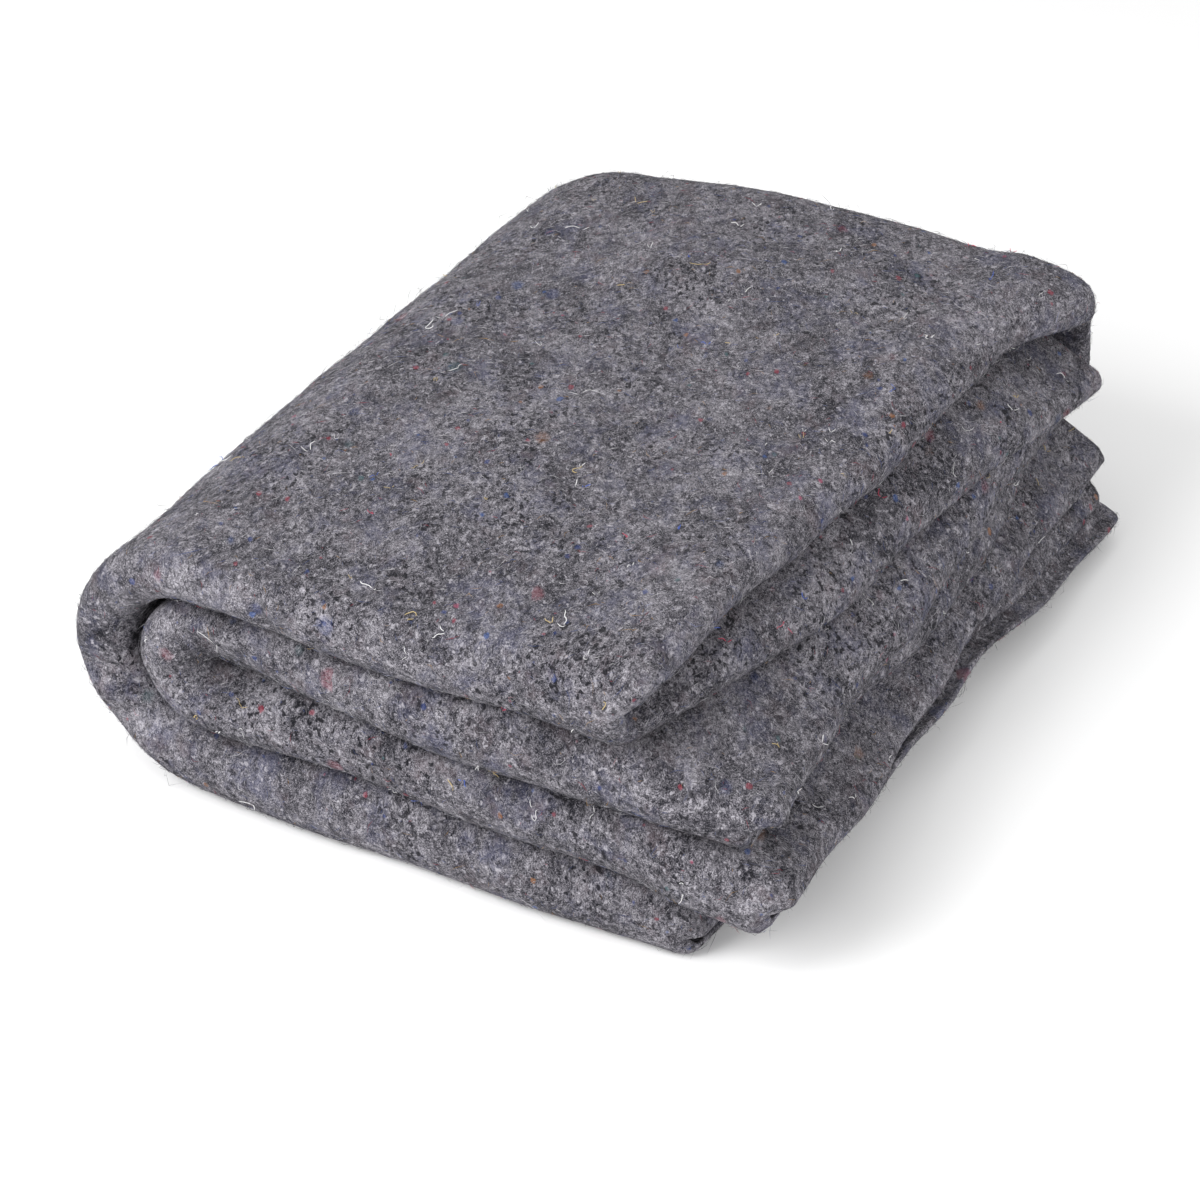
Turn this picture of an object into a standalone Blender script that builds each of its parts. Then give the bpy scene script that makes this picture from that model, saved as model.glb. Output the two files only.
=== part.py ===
"""Folded felt moving blanket: one sheet, doubled, folded back and forth, then folded over once.

Metres, +Z up. X runs from the rounded fold (left) to the stepped edges (right), Y from the four
folded noses (front) to the back, and the blanket lies on Z = 0. Modelled from the cut sheet up:
each vertex of the flat sheet is carried through the three folds, and the stack is then settled.
"""

import bmesh
import bpy
import numpy as np

# Felt
FELT = 0.0040
HALF_FELT = FELT / 2
FELT_COLOUR = (0.155, 0.157, 0.180, 1.0)
FELT_ROUGHNESS = 0.95

# The stack: four layers folded back and forth, then the four turned over on themselves.
# A layer is the doubled sheet, so it has two plies, PLY_SPREAD either side of its middle. The
# fourth layer's raw edge sticks out at the back.
PITCH = 0.0185
PLY_SPREAD = 0.0064
FRONT = 0.0185
BACK = 0.4770
OVERHANG = 0.0130

# The left fold
FOLD_X = 0.0790
FOLD_SPREAD = 0.0057
FOLD_EASE = 0.10
FOLD_INNER = 0.010
HOLLOW = 0.0050
HOLLOW_EASE = 0.085
FOLD_LIFT = 0.0070
FOLD_LIFT_EASE = 0.24

# The right end: how far each layer reaches along X at five places from front to back, how much of
# that its front corner draws in, and from how far back it does
REACH_PLACES = [0.0, 0.25, 0.5, 0.75, 1.0]
#            reach                               draw   depth
REACH = {
    "first": ([0.329, 0.334, 0.342, 0.346, 0.353], 0.004, 0.020),
    "second": ([0.328, 0.352, 0.359, 0.371, 0.382], 0.019, 0.060),
    "third": ([0.394, 0.377, 0.374, 0.372, 0.370], 0.004, 0.018),
    "fourth": ([0.380, 0.367, 0.375, 0.371, 0.350], 0.010, 0.026),
    "fifth": ([0.398, 0.390, 0.385, 0.380, 0.385], 0.003, 0.015),
    "sixth": ([0.390, 0.386, 0.389, 0.394, 0.394], 0.006, 0.015),
    "seventh": ([0.353, 0.362, 0.364, 0.366, 0.368], 0.007, 0.018),
    "eighth": ([0.349, 0.358, 0.360, 0.362, 0.364], 0.007, 0.018),
}
LAYERS = list(REACH)

# The raw edges of the lower layers lie flatter at the right, so the stack sags there. Each layer's
# two plies close up at their raw edges, and the outer one curls in over the end of the inner one
FLAT_START = 0.315
FLAT_END = 0.395
FLAT_PITCH = 0.65
FLAT_EASE = 0.15
FLAT_AT_FRONT = {"third": -0.40, "fourth": 0.80}
CLOSED_SPREAD = 0.0027
CLOSED_START = 0.050
RAW_STEP = 0.0100
CURL_LENGTH = 0.0080
CURL_IN = 0.0018
CURL_ROOM = 0.0036
PINCH = {"third": 0.15, "fourth": 0.28}
PINCH_START = 0.022
GAP = 0.0020
LEAST_PITCH = 2 * (CLOSED_SPREAD + HALF_FELT) + GAP

# The first layer's back edge hangs over the back of the stack, clear of it, and its right end is
# cut back a little; the eighth layer's turns up behind the lower half, with its end further in
FLAP_TURN = 1.60
FLAP_SQUARE = 0.06
FLAP_DROP = 0.0140
FLAP_DRAW = 0.0140
HEEL_DRAW = 0.0340
FLAP_STAND = 0.0380
FLAP_TUCK = 0.0090
FLAP_FLARE = 0.021
FLARE_START = 0.400
FLARE_END = 0.480

# The first layer's right edge springs up off the second: how far at places from front to back
SPRING_START = 0.235
SPRING_END = 0.345
SPRING_DEPTHS = [0.0, 0.06, 0.16, 0.28, 0.40, 0.46, 0.50]
SPRING = [0.0110, 0.0095, 0.0030, 0.0025, 0.0020, 0.0010, 0.0]

# The first layer's back right corner lifts as well
LIFT = 0.0120
LIFT_START = 0.300
LIFT_END = 0.365
LIFT_FRONT = 0.360
LIFT_BACK = 0.470

# The folded edges pinch together at two corners: the third and fourth layers' at the front, and
# the second and third layers' at the back
CORNER_START = 0.290
CORNER_END = 0.375
CORNER_FRONT = 0.130
CORNER_BACK = 0.330
CORNER_SPREAD = 0.0036

# The sixth layer's back corner droops past the ends of the layers under it
DROOP = 0.018
DROOP_START = 0.366
DROOP_END = 0.400

# How the stack stands: its height at four corners as a share of full, its lean and its crown
LEFT_FRONT = 0.886
LEFT_BACK = 0.964
RIGHT_FRONT = 0.952
RIGHT_BACK = 1.040
RISE_EASE = 0.20
SKEW_LEFT = -0.016
SKEW_FRONT = -0.088
CROWN = 0.008
LENGTH = 0.40
DEPTH = 0.50
HEIGHT = 8 * PITCH

# Soft unevenness: waves in metres, each with its height, its two lengths and its start in turns
#               height  length  length  start
TOP_WAVES = [
    ("long roll", 0.0016, 0.34, 0.90, 0.10),
    ("cross roll", 0.0012, 0.70, 0.27, 0.45),
]
FRONT_WAVES = [
    ("slow bow", 0.0018, 0.31, 0.11, 0.20),
    ("short bow", 0.0009, 0.13, 0.17, 0.65),
]
SIDE_WAVES = [
    ("slow step", 0.0018, 0.26, 0.075, 0.30),
    ("short step", 0.0011, 0.105, 0.14, 0.80),
]
SIDE_WAVE_START = 0.22
FLOOR_SNAP = 0.0002

# Steps of the mesh: along the doubled strip, on its outer and its inner ply, and across the folds
OUTER_PLACES = [0.0, 0.22, 0.44, 0.62, 0.76, 0.86, 0.92, 0.96, 0.985, 1.0]
INNER_PLACES = [0.0, 0.22, 0.44, 0.62, 0.76, 0.86, 0.94, 1.0]
PANEL_PLACES = [0.0, 0.06, 0.16, 0.34, 0.52, 0.72, 0.88, 1.0]
BEND_STEPS = 9
NOSE_STEPS = 6
EDGE_STEPS = 4
FLAP_STEPS = 4

# Parts of the doubled strip, from the top layers' folded edge round to the lower layers' raw edge
TOP, BEND, LOWER, EDGE = 1, 0, -1, 2


def smooth(low, high, value):
    """0 below low, 1 above high, and an S curve between."""
    f = np.clip((value - low) / (high - low), 0.0, 1.0)
    return f * f * (3 - 2 * f)


def strip_stations():
    """Arrays (ply, part, fraction) along the doubled strip, from one raw edge round to the other."""
    runs = []
    for places in (OUTER_PLACES, INNER_PLACES):
        run = [(LOWER, f) for f in reversed(places[1:])]
        run += [(BEND, f) for f in np.linspace(1, 0, BEND_STEPS + 1)[:-1]]
        runs.append(run + [(TOP, f) for f in places])
    outer = [(1, part, f) for part, f in runs[0]]
    edge = [(0, EDGE, f) for f in np.linspace(0, 1, EDGE_STEPS + 1)[1:-1]]
    inner = [(-1, part, f) for part, f in reversed(runs[1])]
    return np.array(outer + edge + inner).T


def faces_front(layer):
    """Layers one and three end in a nose at the front, two and four at the back."""
    return layer % 2 == 0


def panel_stations():
    """Stations across the folds: (kind, layer, fraction), from the first layer's back edge on."""
    stations = [("flap", 0, f) for f in np.linspace(1, 0, FLAP_STEPS + 1)[:-1]]
    for layer in range(4):
        places = PANEL_PLACES[::-1] if faces_front(layer) else PANEL_PLACES
        stations += [("panel", layer, f) for f in places]
        if layer < 3:
            turns = np.linspace(0, 1, NOSE_STEPS + 1)[1:-1]
            stations += [("nose", layer, f) for f in turns]
    return stations


def depth_of(station):
    """How far behind the front noses this station is, along the layer."""
    kind, layer, fraction = station
    if kind == "panel":
        return FRONT + (BACK - FRONT + OVERHANG * (layer == 3)) * fraction
    if kind == "nose" and faces_front(layer):
        return FRONT * (1 - np.sin(np.pi * fraction))
    if kind == "flap":
        return BACK + 1.5 * PITCH * FLAP_TURN * fraction
    return BACK


def across(station, offset, middles, tuck=0):
    """(y, v) in the stack of four layers, v up from the fold; offset is outward on layer one."""
    kind, layer, fraction = station
    side = 1 if faces_front(layer) else -1
    if kind == "flap":
        centre = middles[2] - FLAP_DROP * fraction
        angle = FLAP_TURN * fraction
        square = 1 + FLAP_SQUARE * np.sin(2 * angle) ** 2
        behind = (FLAP_STAND - tuck + offset) * square
        above = (middles[0] - centre + offset) * square
        return BACK + behind * np.sin(angle), centre + above * np.cos(angle)
    if kind == "panel":
        return depth_of(station) + 0 * offset, middles[layer] + side * offset
    centre = (middles[layer] + middles[layer + 1]) / 2
    radius = (middles[layer] - middles[layer + 1]) / 2 + side * offset
    start = FRONT if side > 0 else BACK
    turn = np.pi * fraction
    return start - side * radius * np.sin(turn), centre + radius * np.cos(turn)


def layer_reach(name, place, depth):
    """How far one layer reaches along X, place being its share of the way to the back."""
    reach, draw, draw_depth = REACH[name]
    ahead = np.clip(1 - depth / draw_depth, 0, 1)
    return np.interp(place, REACH_PLACES, reach) - draw * (1 - np.sqrt(1 - ahead**2))


def reach_of(station, part):
    """How far the strip reaches along X at this station, at its folded or its raw end."""
    kind, layer, fraction = station
    depth = depth_of(station)
    names = LAYERS[:4] if part == TOP else LAYERS[:3:-1]
    if kind != "nose":
        place = 1 if kind == "flap" else fraction
        first = part == TOP and layer == 0
        flare = FLAP_FLARE * smooth(FLARE_START, FLARE_END, depth) * first
        draw = (FLAP_DRAW if first else HEEL_DRAW) * fraction if kind == "flap" else 0
        return layer_reach(names[layer], place, depth) + flare - draw
    place = 0 if faces_front(layer) else 1
    here = layer_reach(names[layer], place, depth)
    there = layer_reach(names[layer + 1], place, depth)
    return here + (there - here) * smooth(0, 1, fraction)


def pair_pitch(pair, x, depth):
    """Height of one layer of the pair here: full at the left, flatter towards the raw edges."""
    front = FLAT_AT_FRONT[pair]
    share = front + (1 - front) * smooth(0, FLAT_EASE, depth)
    return PITCH * (1 - (1 - FLAT_PITCH) * share * smooth(FLAT_START, FLAT_END, x))


def folded_column(strip, station, face):
    """The points of the sheet at one station, face metres off its middle towards its outer side."""
    ply, part, f = strip
    depth = depth_of(station)
    upper = [PITCH * (3.5 - layer) for layer in range(4)]
    level = across(station, 0, upper)[1]
    fold_x = FOLD_X + FOLD_INNER * (1 - smooth(0, 2 * PITCH, level))
    edge_x = reach_of(station, TOP) - PLY_SPREAD - HALF_FELT
    raw_x = reach_of(station, LOWER) - RAW_STEP * (ply < 0)
    top_x = fold_x + (edge_x - fold_x) * f
    lower_x = fold_x + (raw_x - fold_x) * f
    x = np.select([part == TOP, part == LOWER, part == EDGE], [top_x, lower_x, edge_x], fold_x)

    near_fold = 1 - smooth(FOLD_X, FOLD_X + FOLD_EASE, x)
    near_corner = smooth(CORNER_START, CORNER_END, x)
    front_pinch = near_corner * (1 - smooth(0, CORNER_FRONT, depth))
    back_pinch = near_corner * smooth(CORNER_BACK, BACK, depth)
    pinched = front_pinch * (station[1] >= 2) + back_pinch * (station[1] in (1, 2))
    spread = PLY_SPREAD + (FOLD_SPREAD - PLY_SPREAD) * near_fold
    spread = spread + (CORNER_SPREAD - PLY_SPREAD) * pinched * (part != LOWER)
    turn = np.select([part == EDGE, ply > 0], [np.pi * f, 0.0], np.pi)
    x = x + np.where(part == EDGE, (spread + face) * np.sin(turn), 0)

    third = pair_pitch("third", x, depth)
    fourth = pair_pitch("fourth", x, depth)
    sole = fourth / 2 - np.minimum(spread, fourth / 2 - HALF_FELT - GAP / 2)
    ahead = np.clip(1 + (x - raw_x) / PINCH_START, 0, 1)
    pinch = 1 - np.sqrt(1 - ahead**2)
    tight_third = np.maximum(third * (1 - PINCH["third"] * pinch), LEAST_PITCH)
    tight_fourth = np.maximum(fourth * (1 - PINCH["fourth"] * pinch), LEAST_PITCH)
    own = tight_fourth if station[1] < 2 else tight_third
    closed = spread + (CLOSED_SPREAD - spread) * smooth(raw_x - CLOSED_START, raw_x, x)
    closed = np.minimum(closed, own / 2 - HALF_FELT - GAP / 2)
    ending = np.clip(1 + (x - raw_x) / CURL_LENGTH, 0, 1) * (ply > 0)
    inward = np.minimum(CURL_IN, own / 2 - HALF_FELT - CURL_ROOM)
    curled = closed - (closed + inward) * (1 - np.sqrt(1 - ending**2))

    droop = DROOP * smooth(DROOP_START, DROOP_END, x) * smooth(BACK / 2, BACK, depth)
    eighth = 2 * third + 2 * fourth - sole - closed
    fifth = 1.5 * third - tight_third
    lower = [eighth, eighth - tight_fourth + droop, 1.5 * third + droop, fifth]
    spread = np.where(part == LOWER, curled, spread)
    closer = PLY_SPREAD - CORNER_SPREAD
    spring = np.interp(depth, SPRING_DEPTHS, SPRING) * smooth(SPRING_START, SPRING_END, x)
    lift = LIFT * smooth(LIFT_START, LIFT_END, x) * smooth(LIFT_FRONT, LIFT_BACK, depth)
    upper[0] = upper[0] + spring + lift
    upper[1] = upper[1] - 2.5 * closer * back_pinch
    upper[2] = upper[2] - closer * (2 * front_pinch + back_pinch)
    middles = [np.where(part == LOWER, below, above) for below, above in zip(lower, upper)]
    tuck = FLAP_TUCK * smooth(SPRING_START, SPRING_END, x)
    y, v = across(station, (spread + face) * np.cos(turn), middles, tuck)
    hollow = HOLLOW * (1 - smooth(FOLD_X, FOLD_X + HOLLOW_EASE, x))
    r = hollow + v * (1 - hollow / (4 * PITCH))
    theta = np.select([part == BEND, part == LOWER], [np.pi * f, np.pi], 0.0)
    x = np.where(part == BEND, fold_x - r * np.sin(theta) * FOLD_X / (4 * PITCH), x)
    base = 2 * (third + fourth) - sole + HALF_FELT
    return np.stack([x, y, base + r * np.cos(theta)], axis=-1)


def waves(rows, a, b):
    """The sum of some soft waves over two directions."""
    total = 0
    for name, height, length_a, length_b, start in rows:
        total = total + height * np.sin(2 * np.pi * (a / length_a + b / length_b + start))
    return total


def settle(points):
    """Stands the stack as it lies: its four corner heights, its lean, its crown and its waves."""
    x, y, z = points[..., 0], points[..., 1], points[..., 2]
    deep = np.clip(y / DEPTH, 0, 1)
    high = z / HEIGHT
    left = LEFT_FRONT + (LEFT_BACK - LEFT_FRONT) * deep
    right = RIGHT_FRONT + (RIGHT_BACK - RIGHT_FRONT) * deep
    rise = left + (right - left) * smooth(0, RISE_EASE, x) + CROWN * 4 * deep * (1 - deep)
    lift = FOLD_LIFT * (1 - smooth(FOLD_X, FOLD_LIFT_EASE, x)) * high * (1 - high) ** 2 * 6.75
    z = z * rise + lift + waves(TOP_WAVES, x, y) * high
    near_front = 1 - smooth(0, DEPTH / 2, y)
    near_right = smooth(SIDE_WAVE_START, LENGTH, x)
    bowed = y + waves(FRONT_WAVES, x, z) * near_front + SKEW_FRONT * (x - LENGTH / 2)
    stepped = x + waves(SIDE_WAVES, y, z) * near_right
    stepped = stepped + SKEW_LEFT * (y - DEPTH / 2) * (1 - x / LENGTH)
    z = np.where(z < FLOOR_SNAP, 0.0, z)
    return np.stack([stepped, bowed, z], axis=-1)


def sheet_grid(face):
    """One face of the folded sheet, as a grid of points."""
    strip = strip_stations()
    columns = [folded_column(strip, station, face) for station in panel_stations()]
    return settle(np.stack(columns, axis=1))


def closed_sheet(outer, inner):
    """Points and faces of the closed sheet between two grids of the same size."""
    rows, columns = outer.shape[:2]
    count = rows * columns
    points = np.concatenate([outer.reshape(-1, 3), inner.reshape(-1, 3)])
    faces = []
    for i in range(rows - 1):
        for j in range(columns - 1):
            a = i * columns + j
            b, c, d = a + 1, a + columns + 1, a + columns
            faces.append((a, b, c, d))
            faces.append((a + count, d + count, c + count, b + count))
    rim = list(range(columns))
    rim += [i * columns + columns - 1 for i in range(1, rows)]
    rim += [(rows - 1) * columns + j for j in range(columns - 2, -1, -1)]
    rim += [i * columns for i in range(rows - 2, 0, -1)]
    for here, there in zip(rim, rim[1:] + rim[:1]):
        faces.append((there, here, here + count, there + count))
    return points, faces


def centred(points):
    """The same points with the origin at the middle of the footprint, on the floor."""
    low, high = points.min(axis=0), points.max(axis=0)
    return points - [(low[0] + high[0]) / 2, (low[1] + high[1]) / 2, low[2]]


def felt_material():
    material = bpy.data.materials.new("grey_felt")
    material.use_nodes = True
    shader = material.node_tree.nodes["Principled BSDF"]
    shader.inputs["Base Color"].default_value = FELT_COLOUR
    shader.inputs["Roughness"].default_value = FELT_ROUGHNESS
    shader.inputs["Metallic"].default_value = 0.0
    return material


def make_blanket():
    points, faces = closed_sheet(sheet_grid(HALF_FELT), sheet_grid(-HALF_FELT))
    mesh = bpy.data.meshes.new("felt_blanket")
    mesh.from_pydata(centred(points).tolist(), [], faces)
    shell = bmesh.new()
    shell.from_mesh(mesh)
    bmesh.ops.recalc_face_normals(shell, faces=shell.faces)
    shell.to_mesh(mesh)
    shell.free()
    mesh.shade_smooth()
    mesh.materials.append(felt_material())
    blanket = bpy.data.objects.new("felt_blanket", mesh)
    bpy.context.collection.objects.link(blanket)
    return blanket


def main():
    for obj in list(bpy.data.objects):
        bpy.data.objects.remove(obj)
    make_blanket()


if __name__ == "__main__":
    main()
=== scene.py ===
"""Folded moving blanket of grey recycled felt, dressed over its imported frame.

Laid out as an add-on and run as a script. Metres, +Z up, origin under the middle of the blanket.
The sheet is carried through its folds again, finer than the frame's solid, then given its soft
lumps, creases and rounded raw edges. Loose fibres and stray threads lie on it as their own pieces.
"""

import bpy
import numpy as np
from bpy.props import (
    FloatProperty,
    FloatVectorProperty,
    IntProperty,
    PointerProperty,
)
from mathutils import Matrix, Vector, noise
from mathutils.bvhtree import BVHTree


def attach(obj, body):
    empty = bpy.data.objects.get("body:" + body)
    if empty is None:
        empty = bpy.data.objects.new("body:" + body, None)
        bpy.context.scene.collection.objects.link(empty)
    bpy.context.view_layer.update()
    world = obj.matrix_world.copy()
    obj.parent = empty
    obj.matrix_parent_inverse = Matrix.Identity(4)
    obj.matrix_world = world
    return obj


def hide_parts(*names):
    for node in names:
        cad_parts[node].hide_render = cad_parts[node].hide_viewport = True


bl_info = {
    "name": "Folded Felt Moving Blanket",
    "version": (1, 0, 0),
    "blender": (4, 5, 0),
    "location": "3D View > Sidebar > Blanket",
    "description": "Folds a recycled felt blanket and scatters its fibres and threads",
    "category": "Add Mesh",
}

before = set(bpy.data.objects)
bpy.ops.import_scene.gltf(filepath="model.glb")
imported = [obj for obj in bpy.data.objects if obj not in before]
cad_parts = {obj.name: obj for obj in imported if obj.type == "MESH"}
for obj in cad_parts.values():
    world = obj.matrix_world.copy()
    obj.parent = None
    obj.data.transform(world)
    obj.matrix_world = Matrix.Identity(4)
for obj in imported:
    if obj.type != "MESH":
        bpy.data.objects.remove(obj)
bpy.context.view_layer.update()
NODE = "felt_blanket"
BODY = "root"

# The stack: four layers folded back and forth, then the four turned over on themselves.
# A layer is the doubled sheet, so it has two plies, PLY_SPREAD either side of its middle. The
# fourth layer's raw edge sticks out at the back.
FELT = 0.0040
HALF_FELT = FELT / 2
PITCH = 0.0185
PLY_SPREAD = 0.0064
FRONT = 0.0185
BACK = 0.4770
OVERHANG = 0.0130

# The left fold
FOLD_X = 0.0790
FOLD_SPREAD = 0.0057
FOLD_EASE = 0.10
FOLD_INNER = 0.010
HOLLOW = 0.0050
HOLLOW_EASE = 0.085
FOLD_LIFT = 0.0070
FOLD_LIFT_EASE = 0.24

# The right end: how far each layer reaches along X at five places from front to back, how much of
# that its front corner draws in, and from how far back it does
REACH_PLACES = [0.0, 0.25, 0.5, 0.75, 1.0]
#            reach                               draw   depth
REACH = {
    "first": ([0.329, 0.334, 0.342, 0.346, 0.353], 0.004, 0.020),
    "second": ([0.328, 0.352, 0.359, 0.371, 0.382], 0.019, 0.060),
    "third": ([0.394, 0.377, 0.374, 0.372, 0.370], 0.004, 0.018),
    "fourth": ([0.380, 0.367, 0.375, 0.371, 0.350], 0.010, 0.026),
    "fifth": ([0.398, 0.390, 0.385, 0.380, 0.385], 0.003, 0.015),
    "sixth": ([0.390, 0.386, 0.389, 0.394, 0.394], 0.006, 0.015),
    "seventh": ([0.353, 0.362, 0.364, 0.366, 0.368], 0.007, 0.018),
    "eighth": ([0.349, 0.358, 0.360, 0.362, 0.364], 0.007, 0.018),
}
LAYERS = list(REACH)

# The raw edges of the lower layers lie flatter at the right, so the stack sags there. Each layer's
# two plies close up at their raw edges, and the outer one curls in over the end of the inner one
FLAT_START = 0.315
FLAT_END = 0.395
FLAT_PITCH = 0.65
FLAT_EASE = 0.15
FLAT_AT_FRONT = {"third": -0.40, "fourth": 0.80}
CLOSED_SPREAD = 0.0027
CLOSED_START = 0.050
RAW_STEP = 0.0100
CURL_LENGTH = 0.0080
CURL_IN = 0.0018
CURL_ROOM = 0.0036
PINCH = {"third": 0.15, "fourth": 0.28}
PINCH_START = 0.022
GAP = 0.0020
LEAST_PITCH = 2 * (CLOSED_SPREAD + HALF_FELT) + GAP

# The first layer's back edge hangs over the back of the stack, clear of it, and its right end is
# cut back a little; the eighth layer's turns up behind the lower half, with its end further in
FLAP_TURN = 1.60
FLAP_SQUARE = 0.06
FLAP_DROP = 0.0140
FLAP_DRAW = 0.0140
HEEL_DRAW = 0.0340
FLAP_STAND = 0.0380
FLAP_TUCK = 0.0090
FLAP_FLARE = 0.021
FLARE_START = 0.400
FLARE_END = 0.480

# The first layer's right edge springs up off the second: how far at places from front to back
SPRING_START = 0.235
SPRING_END = 0.345
SPRING_DEPTHS = [0.0, 0.06, 0.16, 0.28, 0.40, 0.46, 0.50]
SPRING = [0.0110, 0.0095, 0.0030, 0.0025, 0.0020, 0.0010, 0.0]

# The first layer's back right corner lifts as well
LIFT = 0.0120
LIFT_START = 0.300
LIFT_END = 0.365
LIFT_FRONT = 0.360
LIFT_BACK = 0.470

# The folded edges pinch together at two corners: the third and fourth layers' at the front, and
# the second and third layers' at the back
CORNER_START = 0.290
CORNER_END = 0.375
CORNER_FRONT = 0.130
CORNER_BACK = 0.330
CORNER_SPREAD = 0.0036

# The sixth layer's back corner droops past the ends of the layers under it
DROOP = 0.018
DROOP_START = 0.366
DROOP_END = 0.400

# How the stack stands: its height at four corners as a share of full, its lean and its crown
LEFT_FRONT = 0.886
LEFT_BACK = 0.964
RIGHT_FRONT = 0.952
RIGHT_BACK = 1.040
RISE_EASE = 0.20
SKEW_LEFT = -0.016
SKEW_FRONT = -0.088
CROWN = 0.008
LENGTH = 0.40
DEPTH = 0.50
HEIGHT = 8 * PITCH

# Soft unevenness: waves in metres, each with its height, its two lengths and its start in turns
TOP_WAVES = [(0.0016, 0.34, 0.90, 0.10), (0.0012, 0.70, 0.27, 0.45)]
FRONT_WAVES = [(0.0018, 0.31, 0.11, 0.20), (0.0009, 0.13, 0.17, 0.65)]
SIDE_WAVES = [(0.0018, 0.26, 0.075, 0.30), (0.0011, 0.105, 0.14, 0.80)]
SIDE_WAVE_START = 0.22
FLOOR_SNAP = 0.0002

# Steps along the doubled strip and across the folds: the frame's own, which fix the origin, and
# the finer ones of the dressed sheet, closer together where the felt shows
FRAME_STEPS = {
    "outer": [0.0, 0.22, 0.44, 0.62, 0.76, 0.86, 0.92, 0.96, 0.985, 1.0],
    "inner": [0.0, 0.22, 0.44, 0.62, 0.76, 0.86, 0.94, 1.0],
    "panels": [[0.0, 0.06, 0.16, 0.34, 0.52, 0.72, 0.88, 1.0]] * 4,
    "outer_bend": 9,
    "inner_bend": 9,
    "nose": 6,
    "edge": 4,
    "flap": 4,
}
FINE_STEPS = {
    "outer": list(np.linspace(0, 0.78, 34)[:-1]) + list(np.linspace(0.78, 1, 23)),
    "inner": list(np.linspace(0, 0.78, 12)[:-1]) + list(np.linspace(0.78, 1, 13)),
    "panels": [
        list(np.linspace(0, 0.12, 11)[:-1]) + list(np.linspace(0.12, 1, 40)),
        list(np.linspace(0, 0.12, 6)[:-1]) + list(np.linspace(0.12, 1, 26)),
        list(np.linspace(0, 0.12, 6)[:-1]) + list(np.linspace(0.12, 1, 26)),
        list(np.linspace(0, 0.12, 6)[:-1]) + list(np.linspace(0.12, 1, 26)),
    ],
    "outer_bend": 40,
    "inner_bend": 18,
    "nose": 14,
    "edge": 8,
    "flap": 10,
}

# The raw border's rounding, in half turns from the outer face to the inner one
RIM_TURNS = [0.25, 0.5, 0.75]

# The rolls and lumps: the seed of each, and how high off the floor they are full
ROLL_SEED = 3
LUMP_SEED = 103
FREE_HEIGHT = 0.012

# The main creases, in the finished sheet's own place: where each starts and ends, how far it
# moves the felt, and how wide it is
CREASES = [
    ((-0.182, -0.244, 0.058), (-0.152, -0.240, 0.053), (0.001, 0.0072, -0.0010), 0.0072),
    ((-0.170, -0.246, 0.034), (-0.140, -0.242, 0.040), (0.001, 0.0066, 0.0010), 0.0074),
    ((-0.108, -0.244, 0.091), (-0.086, -0.246, 0.088), (0.000, 0.0010, 0.0054), 0.0095),
    ((-0.114, -0.236, 0.071), (-0.092, -0.239, 0.072), (0.000, 0.0040, -0.0062), 0.0095),
    ((-0.110, -0.243, 0.082), (-0.125, -0.243, 0.066), (0.000, 0.0052, 0.0000), 0.0060),
    ((-0.130, -0.245, 0.089), (-0.111, -0.246, 0.090), (0.000, 0.0035, 0.0000), 0.0040),
    ((-0.078, -0.250, 0.124), (-0.068, -0.251, 0.114), (0.000, 0.0040, 0.0000), 0.0040),
    ((0.118, -0.251, 0.121), (0.131, -0.224, 0.128), (-0.002, 0.0000, -0.0055), 0.0080),
]

# Fibres and threads lie where nothing covers the felt for this far, looked for from just off it
OPEN_AIR = 0.012
OPEN_START = 0.0015

# The loose fibres: how widely their lengths vary, how far a standing and a lying one rise and how
# far one bends, as shares of its length, their thicknesses, and how their two ends sit
PALE_SEED = 11
DARK_SEED = 12
FIBRE_SPREAD = 0.45
STANDING_SHARE = 0.10
STANDING_RISE = 0.45
LYING_RISE = 0.10
FIBRE_BEND = 0.16
FIBRE_THICKNESSES = (0.6, 1.5)
FIBRE_ROOT = 0.0002
FIBRE_TIPS = (-0.5, 2.0)
FIBRE_CLEAR = 0.0001

# The stray threads: their lengths, their curls, how they lie on the felt, and their thicknesses
THREAD_SEED = 21
THREAD_POINTS = 12
THREAD_SIDES = 5
THREAD_LENGTH = 0.0062
THREAD_SPREAD = 0.5
THREAD_LONGEST = 0.020
THREAD_CURLS = (0.15, 0.75)
THREAD_CLEAR = 0.0002
THREAD_LIFT = 0.0022
THREAD_WAVE = 0.0006
THREAD_WAVES = (1, 5)
THREAD_THICKNESSES = (0.5, 1.3)
THREAD_TIP = 0.4

# The felt's fibres lie a little more one way than the other: their turn from the front, and how
# much longer that makes each clump
LIE_TURN = 0.457
LIE_STRETCH = 1.7

# The felt's patterns, each with its scale, its detail, its roughness and how far it is warped
BROAD = (20.0, 3.0, 0.60, 0.0)
MOTTLE = (46.0, 6.0, 0.95, 0.4)
CLUMPS = (300.0, 4.0, 0.85, 0.6)
STREAKS = (600.0, 3.0, 0.85, 2.8)
CROWDING = (26.0, 2.0, 0.60, 0.0)
SPECKS = (400.0, 1.0, 0.50, 0.0)

# How far the first four move the felt's tone, and the stops of the ramp that the tone runs along:
# their places, and how far the two between lie from the middle fibre to the dark and the pale one
BROAD_TONE = 0.35
MOTTLE_TONE = 1.9
CLUMP_TONE = 0.95
STREAK_TONE = 2.9
TONE_PLACES = (0.0, 0.30, 0.5, 0.70, 1.0)
TOWARDS_DARK = 0.45
TOWARDS_PALE = 0.40

# What frays the outlines of clumps, patches, specks and tufts: its scale, its detail and its reach
FRAY_SCALE = 420.0
FRAY_DETAIL = 2.0
FRAY_REACH = 0.0022

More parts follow.
